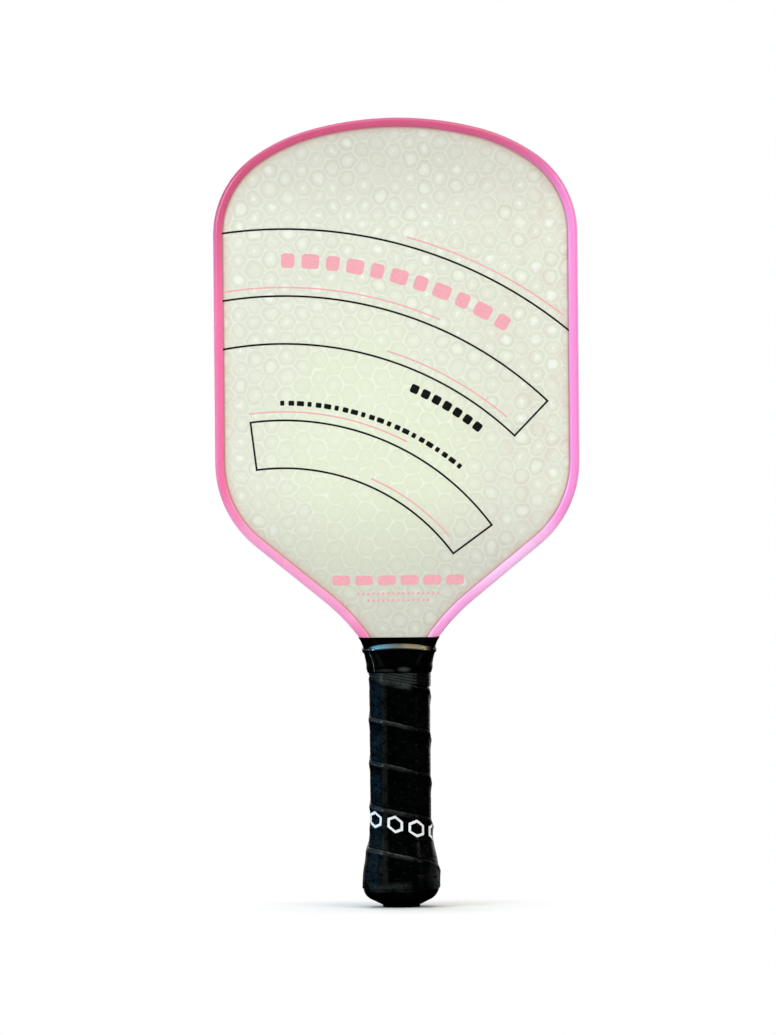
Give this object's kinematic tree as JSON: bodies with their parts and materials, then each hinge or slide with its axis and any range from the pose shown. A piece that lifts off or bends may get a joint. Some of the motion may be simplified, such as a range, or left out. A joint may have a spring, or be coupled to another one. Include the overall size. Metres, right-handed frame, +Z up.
{
  "type": "pickleball paddle",
  "caption": "Flat paddle with a rounded oblong head, honeycomb core between translucent faces, pink edge guard and a short black wrapped octagonal handle with a flared butt.",
  "frame": {"origin": "Centre of the flat end of the butt, on the paddle's centre line.", "axes": "+Z runs up the handle to the tip of the head, X runs across the head, and the front face looks along -Y."},
  "size_m": [0.1906, 0.0387, 0.4128],
  "materials": {
    "core_polypropylene": "pale translucent moulded polypropylene",
    "bond_film": "clear hot-melt film",
    "face_fibreglass": "satin translucent fibreglass, the core's cells showing through",
    "guard_pink": "glossy pink extruded thermoplastic",
    "adhesive_tape": "clear double-sided tape",
    "adhesive": "cured glue",
    "pallet_foam": "rigid polyurethane foam",
    "cap_black": "black moulded plastic with a fine spark texture",
    "staple_steel": "galvanised wire",
    "wrap_black": "black tacky perforated polyurethane",
    "tape_black": "black vinyl tape",
    "band_black": "matt black tape",
    "collar_rubber": "smooth black elastic rubber"
  },
  "bodies": {
    "root": {"honeycomb_core": "core_polypropylene", "front_bond_film": "bond_film", "rear_bond_film": "bond_film", "front_face_skin": "face_fibreglass", "rear_face_skin": "face_fibreglass", "edge_guard": "guard_pink", "edge_bond_tape": "adhesive_tape", "front_pallet_bond": "adhesive", "rear_pallet_bond": "adhesive", "front_handle_pallet": "pallet_foam", "rear_handle_pallet": "pallet_foam", "butt_cap": "cap_black", "butt_cap_staples": "staple_steel", "grip_wrap": "wrap_black", "finishing_tape": "tape_black", "throat_band": "band_black", "grip_collar": "collar_rubber"}
  },
  "joints": []
}
